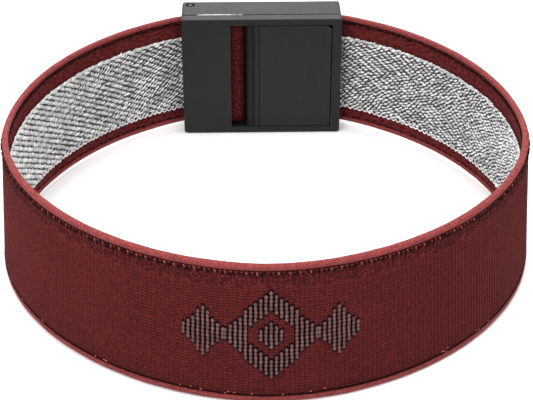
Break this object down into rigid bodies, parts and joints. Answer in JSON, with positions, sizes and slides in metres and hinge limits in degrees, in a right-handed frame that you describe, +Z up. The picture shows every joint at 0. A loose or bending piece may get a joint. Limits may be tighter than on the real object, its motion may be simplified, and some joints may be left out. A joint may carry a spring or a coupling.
{
  "type": "anti-static wristband",
  "caption": "Elastic woven wristband with a silver lining, standing as a loop and closed by a hinged plastic clasp with a press stud for an earthing lead.",
  "frame": {"origin": "middle of the footprint, on the surface that the band stands on", "axes": "+Z up along the band's width, +Y from the middle of the loop to the clasp and out along the press stud, +X along the band where it passes through the clasp"},
  "size_m": [0.0716, 0.0776, 0.0194],
  "materials": {
    "woven_elastic": "wine-red woven polyester over rubber thread, fine crosswise ribs",
    "edge_yarn": "lighter red looped yarn over a rounded edge",
    "silver_knit": "silver-plated looped yarn, bright",
    "sewing_thread": "dark red thread",
    "black_plastic": "moulded, fine matt texture",
    "steel": "drawn stainless steel",
    "stud_nickel": "nickel-plated brass, polished by use"
  },
  "bodies": {
    "root": {"elastic_band": "woven_elastic", "conductive_lining": "silver_knit", "hem_stitching": "sewing_thread", "upper_edge_cord": "edge_yarn", "lower_edge_cord": "edge_yarn", "housing_frame": "black_plastic", "inner_plate": "black_plastic", "anchor_wire": "steel", "lid_pin": "steel", "flap_pin": "steel"},
    "lid": {"outer_lid": "black_plastic", "snap_stud": "stud_nickel", "stud_rivet": "stud_nickel", "contact_leaf": "steel"},
    "flap": {"locking_flap": "black_plastic"}
  },
  "joints": [
    {"name": "lid_hinge", "type": "hinge", "parent": "root", "child": "lid", "pos_m": [-0.011, 0.03368, 0.0097], "axis": [0, 0, 1], "range_deg": [0, 100]},
    {"name": "flap_hinge", "type": "hinge", "parent": "root", "child": "flap", "pos_m": [-0.0017, 0.02878, 0.0097], "axis": [0, 0, -1], "range_deg": [0, 100]}
  ]
}
